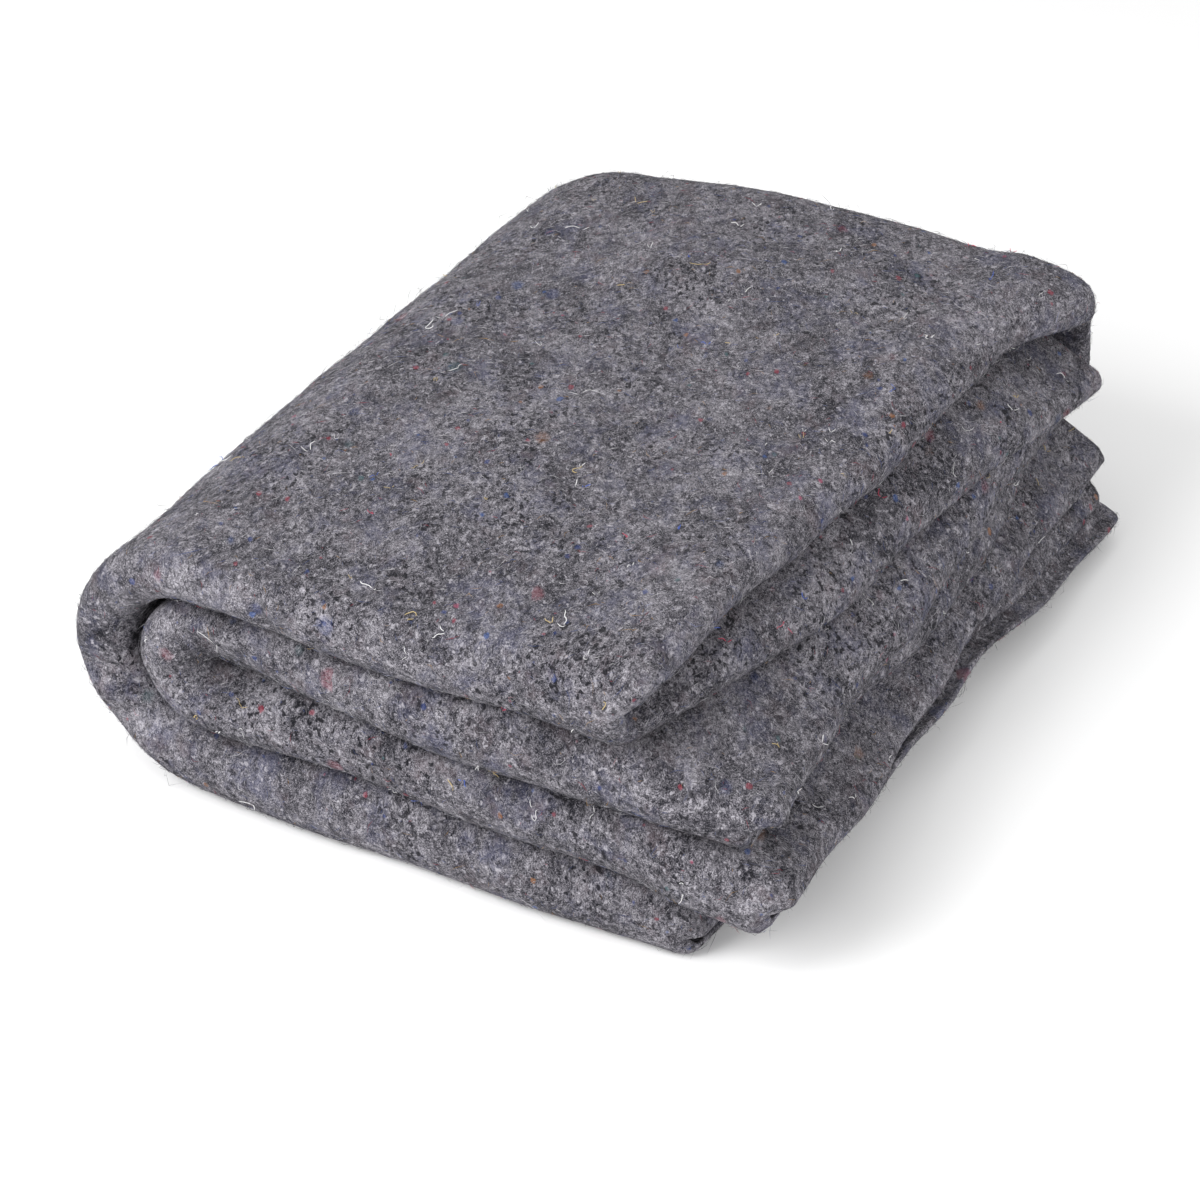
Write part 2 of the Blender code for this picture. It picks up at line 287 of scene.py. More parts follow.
# Tinted patches: their pattern, where in it one starts and is full, and the strength of the tint
BLUE_PATCHES = ((48.0, 4.0, 0.70, 0.0), (0.50, 0.68), 0.50)
BROWN_PATCHES = ((70.0, 4.0, 0.70, 0.0), (0.54, 0.72), 0.40)

# Specks: where in their pattern one starts and is full, its strength and its colour. The dark ones
# are at their full strength only where they crowd, and at this share of it elsewhere
DARK_SPECKS = ((0.42, 0.35), 0.90, (0.008, 0.008, 0.011, 1.0))
PALE_SPECKS = ((0.65, 0.72), 0.65, (0.38, 0.365, 0.40, 1.0))
CROWDED = (0.38, 0.62)
SPARSE = 0.25

# Shredded tufts, small and large: the scale of their cells, the share of cells that have one, how
# far one's size varies and its strength; then the least size, the raggedness and the soft edge
TUFTS = [(200.0, 0.17, 0.32, 0.58), (62.0, 0.20, 0.28, 0.30)]
TUFT_LEAST = 0.06
TUFT_FRAY = 0.3
TUFT_EDGE = 0.10
SHARE_STEP = 0.002

# The felt's relief: its strength, its height and the share of the finer patterns in it
RELIEF_STRENGTH = 0.7
RELIEF_HEIGHT = 0.0015
FINE_RELIEF = 0.6

# The camera: how far round from the front and up, in degrees, how far off, its lens and its
# sensor's width in millimetres, and what it looks at, in the fold's own measure
CAMERA_ROUND = 26.17
CAMERA_UP = 30.25
CAMERA_AWAY = 1.7369
CAMERA_LENS = 96.0
CAMERA_SENSOR = 36.0
CAMERA_AIM = (0.1637, 0.2859, -0.0082)

# The floor's size, and the lights: where each stands, its size and its share of the power
FLOOR_SIZE = 8.0
LIGHTS = [
    ("key_light", (-0.9, -1.7, 1.4), 1.4, 1.00),
    ("fill_light", (1.7, -1.0, 1.0), 1.2, 0.30),
]

# Colours of the shredded tufts, of the loose fibres and of the stray threads: each stop holds from
# its place to the next one's
FLECK_COLOURS = [
    (0.00, (0.020, 0.040, 0.150)),
    (0.26, (0.230, 0.030, 0.050)),
    (0.46, (0.015, 0.015, 0.020)),
    (0.62, (0.260, 0.110, 0.040)),
    (0.72, (0.040, 0.090, 0.260)),
    (0.86, (0.330, 0.060, 0.120)),
    (0.93, (0.050, 0.110, 0.120)),
]
PALE_FIBRES = [
    (0.00, (0.130, 0.128, 0.145)),
    (0.35, (0.200, 0.198, 0.215)),
    (0.65, (0.300, 0.295, 0.315)),
    (0.88, (0.520, 0.510, 0.530)),
    (0.96, (0.160, 0.175, 0.290)),
]
DARK_FIBRES = [
    (0.00, (0.020, 0.020, 0.026)),
    (0.40, (0.030, 0.030, 0.040)),
    (0.75, (0.055, 0.055, 0.068)),
    (0.90, (0.035, 0.060, 0.180)),
    (0.95, (0.260, 0.040, 0.060)),
    (0.98, (0.340, 0.200, 0.070)),
]
THREAD_COLOURS = [
    (0.00, (0.640, 0.635, 0.640)),
    (0.40, (0.012, 0.012, 0.014)),
    (0.72, (0.420, 0.325, 0.160)),
    (0.88, (0.060, 0.110, 0.400)),
    (0.94, (0.480, 0.050, 0.100)),
]

# Parts of the doubled strip: the top layers, the left fold, the lower layers and the edge where
# the sheet is doubled, at the top layers' right end
TOP, BEND, LOWER, EDGE = 1, 0, -1, 2


class SheetSettings(bpy.types.PropertyGroup):
    """Sizes of the felt's own unevenness."""

    roll_height: FloatProperty(
        name="Roll height",
        description="How far the soft rolls push the stack out or in",
        default=0.0022,
        min=0.0,
        max=0.006,
        precision=4,
        unit="LENGTH",
    )
    roll_length: FloatProperty(
        name="Roll length",
        description="Size of one soft roll",
        default=0.075,
        min=0.04,
        max=0.3,
        precision=3,
        unit="LENGTH",
    )
    lump_height: FloatProperty(
        name="Lump height",
        description="How far the felt's small lumps stand out",
        default=0.0006,
        min=0.0,
        max=0.0015,
        precision=4,
        unit="LENGTH",
    )
    lump_length: FloatProperty(
        name="Lump length",
        description="Size of one small lump",
        default=0.020,
        min=0.01,
        max=0.05,
        precision=3,
        unit="LENGTH",
    )


class FeltColours(bpy.types.PropertyGroup):
    """Colours of the shredded fibre that the felt is pressed from."""

    dark: FloatVectorProperty(
        name="Dark fibre",
        description="The darkest clumps in the felt",
        default=(0.008, 0.008, 0.011),
        min=0.0,
        max=1.0,
        subtype="COLOR",
    )
    middle: FloatVectorProperty(
        name="Middle fibre",
        description="The felt's main grey",
        default=(0.123, 0.116, 0.132),
        min=0.0,
        max=1.0,
        subtype="COLOR",
    )
    pale: FloatVectorProperty(
        name="Pale fibre",
        description="The palest clumps in the felt",
        default=(0.40, 0.385, 0.42),
        min=0.0,
        max=1.0,
        subtype="COLOR",
    )
    blue: FloatVectorProperty(
        name="Blue tint",
        description="The denim tint of some patches",
        default=(0.062, 0.066, 0.120),
        min=0.0,
        max=1.0,
        subtype="COLOR",
    )
    brown: FloatVectorProperty(
        name="Brown tint",
        description="The warm tint of other patches",
        default=(0.120, 0.088, 0.096),
        min=0.0,
        max=1.0,
        subtype="COLOR",
    )


class NapSettings(bpy.types.PropertyGroup):
    """The loose fibres that stand off the felt."""

    count: IntProperty(
        name="Fibres",
        description="How many loose fibres each of the two shades has",
        default=30000,
        min=0,
        max=33000,
    )
    length: FloatProperty(
        name="Fibre length",
        description="Length of a middling fibre",
        default=0.0050,
        min=0.001,
        max=0.02,
        precision=4,
        unit="LENGTH",
    )
    radius: FloatProperty(
        name="Fibre radius",
        description="Half the thickness of a fibre at its middle",
        default=0.00009,
        min=0.00002,
        max=0.0003,
        precision=5,
        unit="LENGTH",
    )


class ThreadSettings(bpy.types.PropertyGroup):
    """The longer curled threads caught in the felt."""

    count: IntProperty(
        name="Threads",
        description="How many stray threads lie on the felt",
        default=320,
        min=0,
        max=1000,
    )
    radius: FloatProperty(
        name="Thread radius",
        description="Half the thickness of a thread",
        default=0.00019,
        min=0.00005,
        max=0.001,
        precision=5,
        unit="LENGTH",
    )


class StageSettings(bpy.types.PropertyGroup):
    """The floor and the studio light."""

    floor_colour: FloatVectorProperty(
        name="Floor",
        description="Colour of the floor and the backdrop",
        default=(0.86, 0.86, 0.86),
        min=0.0,
        max=1.0,
        subtype="COLOR",
    )
    light_power: FloatProperty(
        name="Lights",
        description="Power of the large light above the front, which the other light follows",
        default=56.0,
        min=0.0,
        max=500.0,
        unit="POWER",
    )
    sky_strength: FloatProperty(
        name="Sky strength",
        description="Strength of the even light from all round",
        default=0.86,
        min=0.0,
        max=5.0,
    )


def smooth(low, high, value):
    """0 below low, 1 above high, and an S curve between."""
    f = np.clip((value - low) / (high - low), 0.0, 1.0)
    return f * f * (3 - 2 * f)


def strip_stations(steps):
    """Arrays (ply, part, fraction) along the doubled strip, from one raw edge round to the other."""
    runs = []
    for side in ("outer", "inner"):
        places, bend = steps[side], steps[side + "_bend"]
        run = [(LOWER, f) for f in reversed(places[1:])]
        run += [(BEND, f) for f in np.linspace(1, 0, bend + 1)[:-1]]
        runs.append(run + [(TOP, f) for f in places])
    outer = [(1, part, f) for part, f in runs[0]]
    edge = [(0, EDGE, f) for f in np.linspace(0, 1, steps["edge"] + 1)[1:-1]]
    inner = [(-1, part, f) for part, f in reversed(runs[1])]
    return np.array(outer + edge + inner).T


def faces_front(layer):
    """Layers one and three end in a nose at the front, two and four at the back."""
    return layer % 2 == 0


def panel_stations(steps):
    """Stations across the folds: (kind, layer, fraction), from the first layer's back edge on."""
    stations = [("flap", 0, f) for f in np.linspace(1, 0, steps["flap"] + 1)[:-1]]
    for layer in range(4):
        places = steps["panels"][layer]
        if faces_front(layer):
            places = places[::-1]
        stations += [("panel", layer, f) for f in places]
        if layer < 3:
            turns = np.linspace(0, 1, steps["nose"] + 1)[1:-1]
            stations += [("nose", layer, f) for f in turns]
    return stations


def depth_of(station):
    """How far behind the front noses this station is, along the layer."""
    kind, layer, fraction = station
    if kind == "panel":
        return FRONT + (BACK - FRONT + OVERHANG * (layer == 3)) * fraction
    if kind == "nose" and faces_front(layer):
        return FRONT * (1 - np.sin(np.pi * fraction))
    if kind == "flap":
        return BACK + 1.5 * PITCH * FLAP_TURN * fraction
    return BACK


def across(station, offset, middles, tuck=0):
    """(y, v) in the stack of four layers, v up from the fold; offset is outward on layer one."""
    kind, layer, fraction = station
    side = 1 if faces_front(layer) else -1
    if kind == "flap":
        centre = middles[2] - FLAP_DROP * fraction
        angle = FLAP_TURN * fraction
        square = 1 + FLAP_SQUARE * np.sin(2 * angle) ** 2
        behind = (FLAP_STAND - tuck + offset) * square
        above = (middles[0] - centre + offset) * square
        return BACK + behind * np.sin(angle), centre + above * np.cos(angle)
    if kind == "panel":
        return depth_of(station) + 0 * offset, middles[layer] + side * offset
    centre = (middles[layer] + middles[layer + 1]) / 2
    radius = (middles[layer] - middles[layer + 1]) / 2 + side * offset
    start = FRONT if side > 0 else BACK
    turn = np.pi * fraction
    return start - side * radius * np.sin(turn), centre + radius * np.cos(turn)


def layer_reach(name, place, depth):
    """How far one layer reaches along X, place being its share of the way to the back."""
    reach, draw, draw_depth = REACH[name]
    ahead = np.clip(1 - depth / draw_depth, 0, 1)
    return np.interp(place, REACH_PLACES, reach) - draw * (1 - np.sqrt(1 - ahead**2))


def reach_of(station, part):
    """How far the strip reaches along X at this station, at its folded or its raw end."""
    kind, layer, fraction = station
    depth = depth_of(station)
    names = LAYERS[:4] if part == TOP else LAYERS[:3:-1]
    if kind != "nose":
        place = 1 if kind == "flap" else fraction
        first = part == TOP and layer == 0
        flare = FLAP_FLARE * smooth(FLARE_START, FLARE_END, depth) * first
        draw = (FLAP_DRAW if first else HEEL_DRAW) * fraction if kind == "flap" else 0
        return layer_reach(names[layer], place, depth) + flare - draw
    place = 0 if faces_front(layer) else 1
    here = layer_reach(names[layer], place, depth)
    there = layer_reach(names[layer + 1], place, depth)
    return here + (there - here) * smooth(0, 1, fraction)


def pair_pitch(pair, x, depth):
    """Height of one layer of the pair here: full at the left, flatter towards the raw edges."""
    front = FLAT_AT_FRONT[pair]
    share = front + (1 - front) * smooth(0, FLAT_EASE, depth)
    return PITCH * (1 - (1 - FLAT_PITCH) * share * smooth(FLAT_START, FLAT_END, x))


def folded_column(strip, station, face):
    """The points of the sheet at one station, face metres off its middle towards its outer side."""
    ply, part, f = strip
    depth = depth_of(station)
    upper = [PITCH * (3.5 - layer) for layer in range(4)]
    level = across(station, 0, upper)[1]
    fold_x = FOLD_X + FOLD_INNER * (1 - smooth(0, 2 * PITCH, level))
    edge_x = reach_of(station, TOP) - PLY_SPREAD - HALF_FELT
    raw_x = reach_of(station, LOWER) - RAW_STEP * (ply < 0)
    top_x = fold_x + (edge_x - fold_x) * f
    lower_x = fold_x + (raw_x - fold_x) * f
    x = np.select([part == TOP, part == LOWER, part == EDGE], [top_x, lower_x, edge_x], fold_x)

    near_fold = 1 - smooth(FOLD_X, FOLD_X + FOLD_EASE, x)
    near_corner = smooth(CORNER_START, CORNER_END, x)
    front_pinch = near_corner * (1 - smooth(0, CORNER_FRONT, depth))
    back_pinch = near_corner * smooth(CORNER_BACK, BACK, depth)
    pinched = front_pinch * (station[1] >= 2) + back_pinch * (station[1] in (1, 2))
    spread = PLY_SPREAD + (FOLD_SPREAD - PLY_SPREAD) * near_fold
    spread = spread + (CORNER_SPREAD - PLY_SPREAD) * pinched * (part != LOWER)
    turn = np.select([part == EDGE, ply > 0], [np.pi * f, 0.0], np.pi)
    x = x + np.where(part == EDGE, (spread + face) * np.sin(turn), 0)

    third = pair_pitch("third", x, depth)
    fourth = pair_pitch("fourth", x, depth)
    sole = fourth / 2 - np.minimum(spread, fourth / 2 - HALF_FELT - GAP / 2)
    ahead = np.clip(1 + (x - raw_x) / PINCH_START, 0, 1)
    pinch = 1 - np.sqrt(1 - ahead**2)
    tight_third = np.maximum(third * (1 - PINCH["third"] * pinch), LEAST_PITCH)
    tight_fourth = np.maximum(fourth * (1 - PINCH["fourth"] * pinch), LEAST_PITCH)
    own = tight_fourth if station[1] < 2 else tight_third
    closed = spread + (CLOSED_SPREAD - spread) * smooth(raw_x - CLOSED_START, raw_x, x)
    closed = np.minimum(closed, own / 2 - HALF_FELT - GAP / 2)
    ending = np.clip(1 + (x - raw_x) / CURL_LENGTH, 0, 1) * (ply > 0)
    inward = np.minimum(CURL_IN, own / 2 - HALF_FELT - CURL_ROOM)
    curled = closed - (closed + inward) * (1 - np.sqrt(1 - ending**2))

    droop = DROOP * smooth(DROOP_START, DROOP_END, x) * smooth(BACK / 2, BACK, depth)
    eighth = 2 * third + 2 * fourth - sole - closed
    fifth = 1.5 * third - tight_third
    lower = [eighth, eighth - tight_fourth + droop, 1.5 * third + droop, fifth]
    spread = np.where(part == LOWER, curled, spread)
    closer = PLY_SPREAD - CORNER_SPREAD
    spring = np.interp(depth, SPRING_DEPTHS, SPRING) * smooth(SPRING_START, SPRING_END, x)
    lift = LIFT * smooth(LIFT_START, LIFT_END, x) * smooth(LIFT_FRONT, LIFT_BACK, depth)
    upper[0] = upper[0] + spring + lift
    upper[1] = upper[1] - 2.5 * closer * back_pinch
    upper[2] = upper[2] - closer * (2 * front_pinch + back_pinch)
    middles = [np.where(part == LOWER, below, above) for below, above in zip(lower, upper)]
    tuck = FLAP_TUCK * smooth(SPRING_START, SPRING_END, x)
    y, v = across(station, (spread + face) * np.cos(turn), middles, tuck)
    hollow = HOLLOW * (1 - smooth(FOLD_X, FOLD_X + HOLLOW_EASE, x))
    r = hollow + v * (1 - hollow / (4 * PITCH))
    theta = np.select([part == BEND, part == LOWER], [np.pi * f, np.pi], 0.0)
    x = np.where(part == BEND, fold_x - r * np.sin(theta) * FOLD_X / (4 * PITCH), x)
    base = 2 * (third + fourth) - sole + HALF_FELT
    return np.stack([x, y, base + r * np.cos(theta)], axis=-1)


def waves(rows, a, b):
    """The sum of some soft waves over two directions."""
    total = 0
    for height, length_a, length_b, start in rows:
        total = total + height * np.sin(2 * np.pi * (a / length_a + b / length_b + start))
    return total


def settle(points):
    """Stands the stack as it lies: its four corner heights, its lean, its crown and its waves."""
    x, y, z = points[..., 0], points[..., 1], points[..., 2]
    deep = np.clip(y / DEPTH, 0, 1)
    high = z / HEIGHT
    left = LEFT_FRONT + (LEFT_BACK - LEFT_FRONT) * deep
    right = RIGHT_FRONT + (RIGHT_BACK - RIGHT_FRONT) * deep
    rise = left + (right - left) * smooth(0, RISE_EASE, x) + CROWN * 4 * deep * (1 - deep)
    lift = FOLD_LIFT * (1 - smooth(FOLD_X, FOLD_LIFT_EASE, x)) * high * (1 - high) ** 2 * 6.75
    z = z * rise + lift + waves(TOP_WAVES, x, y) * high
    near_front = 1 - smooth(0, DEPTH / 2, y)
    near_right = smooth(SIDE_WAVE_START, LENGTH, x)
    bowed = y + waves(FRONT_WAVES, x, z) * near_front + SKEW_FRONT * (x - LENGTH / 2)
    stepped = x + waves(SIDE_WAVES, y, z) * near_right
    stepped = stepped + SKEW_LEFT * (y - DEPTH / 2) * (1 - x / LENGTH)
    z = np.where(z < FLOOR_SNAP, 0.0, z)
    return np.stack([stepped, bowed, z], axis=-1)


def sheet_grid(face, steps):
    """One face of the folded sheet, as a grid of points."""
    strip = strip_stations(steps)
    columns = [folded_column(strip, station, face) for station in panel_stations(steps)]
    return settle(np.stack(columns, axis=1))


def footprint_middle():
    """The middle of the frame's footprint on the floor, in the fold's own measure."""
    faces = [sheet_grid(face, FRAME_STEPS).reshape(-1, 3) for face in (HALF_FELT, -HALF_FELT)]
    points = np.concatenate(faces)
    low, high = points.min(axis=0), points.max(axis=0)
    return np.array([(low[0] + high[0]) / 2, (low[1] + high[1]) / 2, low[2]])


def soft_noise(points, length, seed):
    """A soft random vector at each point, within about one, that turns over in this length."""
    noise.seed_set(seed)
    moved = points / length
    return np.array([noise.noise_vector(Vector(p)) for p in moved.reshape(-1, 3).tolist()])


def lumpy(outer, inner, settings):
    """Both faces of the sheet with its rolls, which move the stack, and its lumps, which don't."""
    shape = outer.shape
    middle, half = (outer + inner) / 2, (outer - inner) / 2
    roll = settings.roll_height * soft_noise(middle, settings.roll_length, ROLL_SEED).reshape(shape)
    lump = soft_noise(middle, settings.lump_length, LUMP_SEED).reshape(shape)[..., :1]
    normal = half / np.linalg.norm(half, axis=-1, keepdims=True)
    free = smooth(0.0, FREE_HEIGHT, middle[..., 2:])
    moved = (roll + settings.lump_height * lump * normal) * free
    return outer + moved, inner + moved


def creased(outer, inner):
    """Both faces of the sheet with the main creases, soft troughs that move the two together."""
    middle = (outer + inner) / 2
    moved = np.zeros_like(middle)
    for start, end, push, width in CREASES:
        run = np.array(end) - start
        along = np.clip((middle - start) @ run / (run @ run), 0, 1)[..., None]
        gap = np.linalg.norm(middle - start - along * run, axis=-1, keepdims=True)
        moved += np.exp(-((gap / width) ** 2)) * push
    return outer + moved, inner + moved


def border(grid):
    """The points round the border of a grid, in order."""
    return np.concatenate([grid[0], grid[1:, -1], grid[-1, -2::-1], grid[-2:0:-1, 0]])


def border_inside(grid):
    """The point next to each of the border's, one row or column in."""
    return np.concatenate([grid[1], grid[1:, -2], grid[-2, -2::-1], grid[-2:0:-1, 1]])


def rounded_rim(outer, inner):
    """The sheet's raw border as rows of points, from its outer face round to its inner one."""
    middle = (border(outer) + border(inner)) / 2
    half = (border(outer) - border(inner)) / 2
    out = middle - (border_inside(outer) + border_inside(inner)) / 2
    out = out / np.linalg.norm(out, axis=-1, keepdims=True) * HALF_FELT
    turns = [np.pi * turn for turn in RIM_TURNS]
    return [middle + half * np.cos(turn) + out * np.sin(turn) for turn in turns]


def closed_sheet(outer, inner):
    """Points and faces of the closed sheet between two grids, with a rounded border."""
    rows, columns = outer.shape[:2]
    count = rows * columns
    rings = rounded_rim(outer, inner)
    points = np.concatenate([outer.reshape(-1, 3), inner.reshape(-1, 3)] + rings)
    faces = []
    for i in range(rows - 1):
        for j in range(columns - 1):
            a = i * columns + j
            b, c, d = a + 1, a + columns + 1, a + columns
            faces.append((a, b, c, d))
            faces.append((a + count, d + count, c + count, b + count))
    rim = list(range(columns))
    rim += [i * columns + columns - 1 for i in range(1, rows)]
    rim += [(rows - 1) * columns + j for j in range(columns - 2, -1, -1)]
    rim += [i * columns for i in range(rows - 2, 0, -1)]
    start = 2 * count
    lines = [rim]
    lines += [range(start + k * len(rim), start + (k + 1) * len(rim)) for k in range(len(rings))]
    lines += [[i + count for i in rim]]
    for upper, lower in zip(lines, lines[1:]):
        for k in range(len(rim)):
            after = (k + 1) % len(rim)
            faces.append((upper[after], upper[k], lower[k], lower[after]))
    return points, faces


class Socket:
    """A number or colour in a material. Arithmetic on a number adds Math nodes."""

    def __init__(self, output):
        self.output = output

    def maths(self, operation, first, second, clamp=False):
        settings = {"operation": operation, "use_clamp": clamp}
        return add_node(self.output.id_data, "ShaderNodeMath", settings, {0: first, 1: second})[0]

    def __add__(self, other):
        return self.maths("ADD", self, other)

    def __radd__(self, other):
        return self.maths("ADD", other, self)

    def __sub__(self, other):
        return self.maths("SUBTRACT", self, other)

    def __mul__(self, other):
        return self.maths("MULTIPLY", self, other)

    def between(self, low, high):
        """0 at low and 1 at high, held at both ends."""
        return self.maths("MULTIPLY", self - low, 1 / (high - low), clamp=True)


def add_node(tree, kind, settings, sockets):
    """Adds a node: its settings first, then the values or links of its sockets."""
    node = tree.nodes.new(kind)
    for name, value in settings.items():
        if name == "stops":
            ramp = node.color_ramp
            while len(ramp.elements) < len(value):
                ramp.elements.new(1.0)
            for element, (place, colour) in zip(ramp.elements, value):
                element.position, element.color = place, (*colour, 1.0)
        elif name == "interpolation":
            node.color_ramp.interpolation = value
        else:
            setattr(node, name, value)
    for name, value in sockets.items():
        if isinstance(value, Socket):
            tree.links.new(value.output, node.inputs[name])
        else:
            node.inputs[name].default_value = value
    return [Socket(output) for output in node.outputs if output.enabled]


class Finish:
    """A material with its Principled shader, to which nodes are added."""

    def __init__(self, name):
        self.material = bpy.data.materials.new(name)
        self.material.use_nodes = True
        self.tree = self.material.node_tree
        self.shader = self.tree.nodes["Principled BSDF"]

    def node(self, kind, settings=None, sockets=None):
        """The outputs of a new node."""
        return add_node(self.tree, kind, settings or {}, sockets or {})

    def mix(self, amount, first, second):
        """Two colours mixed by an amount."""
        settings = {"data_type": "RGBA"}
        return self.node("ShaderNodeMix", settings, {0: amount, 6: first, 7: second})[0]

    def clouds(self, place, scale, detail, roughness, distortion):
        """A soft random number over the surface, about half on the whole."""
        sockets = {
            "Vector": place,
            "Scale": scale,
            "Detail": detail,
            "Roughness": roughness,
            "Distortion": distortion,
        }
        return self.node("ShaderNodeTexNoise", {}, sockets)[0]

    def ramp(self, amount, stops, interpolation="LINEAR"):
        """The colour at this amount on a ramp of (place, colour) stops."""
        settings = {"stops": [(at, tuple(c)) for at, c in stops], "interpolation": interpolation}
        return self.node("ShaderNodeValToRGB", settings, {"Fac": amount})[0]

    def shift(self, place, by, amount):
        """A place moved by a noise's own colour, for ragged outlines."""
        settings = {"operation": "MULTIPLY_ADD"}
        sockets = {0: by, 1: (amount, amount, amount), 2: place}
        return self.node("ShaderNodeVectorMath", settings, sockets)[0]

    def set(self, values):
        """Links or sets the shader's own sockets."""
        for name, value in values.items():
            socket = self.shader.inputs[name]
            if isinstance(value, Socket):
                self.tree.links.new(value.output, socket)
            else:
                socket.default_value = value


def tone_stops(colours):
    """The felt's ramp from its dark fibre through the middle one to the pale one."""
    dark, middle, pale = (np.array(c) for c in (colours.dark, colours.middle, colours.pale))
    lower = middle * (dark / middle) ** TOWARDS_DARK
    upper = middle * (pale / middle) ** TOWARDS_PALE
    return list(zip(TONE_PLACES, (dark, lower, middle, upper, pale)))


def felt_finish(colours):
    """Recycled felt: mottled clumps, fibre streaks, tinted patches and shredded coloured flecks."""
    felt = Finish("recycled_felt")
    sockets = {
        "Vector": felt.node("ShaderNodeTexCoord")[3],
        "Rotation": (0.0, 0.0, LIE_TURN),
        "Scale": (1.0, LIE_STRETCH, 1.0),
    }
    place = felt.node("ShaderNodeMapping", {"vector_type": "TEXTURE"}, sockets)[0]
    sockets = {"Vector": place, "Scale": FRAY_SCALE, "Detail": FRAY_DETAIL}
    fray = felt.node("ShaderNodeTexNoise", {}, sockets)[1]
    ragged = felt.shift(place, fray, FRAY_REACH)
    mottle = felt.clouds(place, *MOTTLE) - 0.5
    clumps = felt.clouds(ragged, *CLUMPS) - 0.5
    streaks = felt.clouds(place, *STREAKS) - 0.5
    broad = felt.clouds(place, *BROAD) - 0.5
    tone = 0.5 + broad * BROAD_TONE + mottle * MOTTLE_TONE + clumps * CLUMP_TONE
    shade = felt.ramp(tone + streaks * STREAK_TONE, tone_stops(colours))

    patches = ((colours.blue, BLUE_PATCHES), (colours.brown, BROWN_PATCHES))
    for tint, (pattern, span, amount) in patches:
        patch = felt.clouds(ragged, *pattern).between(*span)
        shade = felt.mix(patch * amount, shade, (*tint, 1.0))
    specks = felt.clouds(ragged, *SPECKS)
    crowded = felt.clouds(place, *CROWDING).between(*CROWDED)
    span, amount, colour = DARK_SPECKS
    dark = specks.between(*span) * (SPARSE + crowded * (1 - SPARSE))
    shade = felt.mix(dark * amount, shade, colour)
    span, amount, colour = PALE_SPECKS
    shade = felt.mix(specks.between(*span) * amount, shade, colour)

    for scale, share, most, amount in TUFTS:
        cells = felt.node("ShaderNodeTexVoronoi", {}, {"Vector": ragged, "Scale": scale})
        pick, hue, size = felt.node("ShaderNodeSeparateColor", {}, {"Color": cells[1]})
        reach = TUFT_LEAST + size * most - cells[0] + streaks * TUFT_FRAY
        chosen = pick.between(share, share - SHARE_STEP) * reach.between(0.0, TUFT_EDGE)
        tuft = felt.ramp(hue, FLECK_COLOURS, "CONSTANT")
        shade = felt.mix(chosen * amount, shade, tuft)

    felt.set({"Base Color": shade, "Roughness": 0.95})
    felt.set({"Specular IOR Level": 0.1, "Sheen Weight": 0.04, "Sheen Roughness": 0.35})
    height = mottle + clumps * FINE_RELIEF + streaks * FINE_RELIEF
    sockets = {"Strength": RELIEF_STRENGTH, "Distance": RELIEF_HEIGHT, "Height": height}
    felt.set({"Normal": felt.node("ShaderNodeBump", {}, sockets)[0]})
    return felt.material


def fibre_finish(name, stops, roughness):
    """Fibres or threads, each with its own even colour from its place on a ramp."""
    fibre = Finish(name)
    place = fibre.node("ShaderNodeAttribute", {"attribute_name": "own_colour"})[2]
    fibre.set({"Base Color": fibre.ramp(place, stops, "CONSTANT"), "Roughness": roughness})
    return fibre.material


def new_piece(name, points, faces, material):
    """A smooth mesh object at the origin, riding on the frame."""
    mesh = bpy.data.meshes.new(name)
    mesh.from_pydata(np.asarray(points).tolist(), [], faces)
    mesh.validate()
    mesh.shade_smooth()
    mesh.materials.append(material)
    piece = bpy.data.objects.new(name, mesh)
    bpy.context.collection.objects.link(piece)
    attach(piece, BODY)
    return piece


class BLANKET_OT_sheet(bpy.types.Operator):
    """Folds the felt sheet over the frame's solid, with its lumps, creases and raw edges"""

    bl_idname = "felt_blanket.sheet"
    bl_label = "Fold the sheet"

    def execute(self, context):
        settings = context.scene.blanket_sheet
        shift = footprint_middle()
        outer = sheet_grid(HALF_FELT, FINE_STEPS) - shift
        inner = sheet_grid(-HALF_FELT, FINE_STEPS) - shift
        outer, inner = creased(*lumpy(outer, inner, settings))
        points, faces = closed_sheet(outer, inner)
        points[:, 2] = np.maximum(points[:, 2], 0.0)
        sheet = new_piece("felt_sheet", points, faces, felt_finish(context.scene.blanket_felt))
        bpy.ops.object.select_all(action="DESELECT")
        sheet.select_set(True)
        context.view_layer.objects.active = sheet
        bpy.ops.object.mode_set(mode="EDIT")
        bpy.ops.mesh.select_all(action="SELECT")
        bpy.ops.mesh.normals_make_consistent(inside=False)
        bpy.ops.object.mode_set(mode="OBJECT")
        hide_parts(NODE)
        return {"FINISHED"}


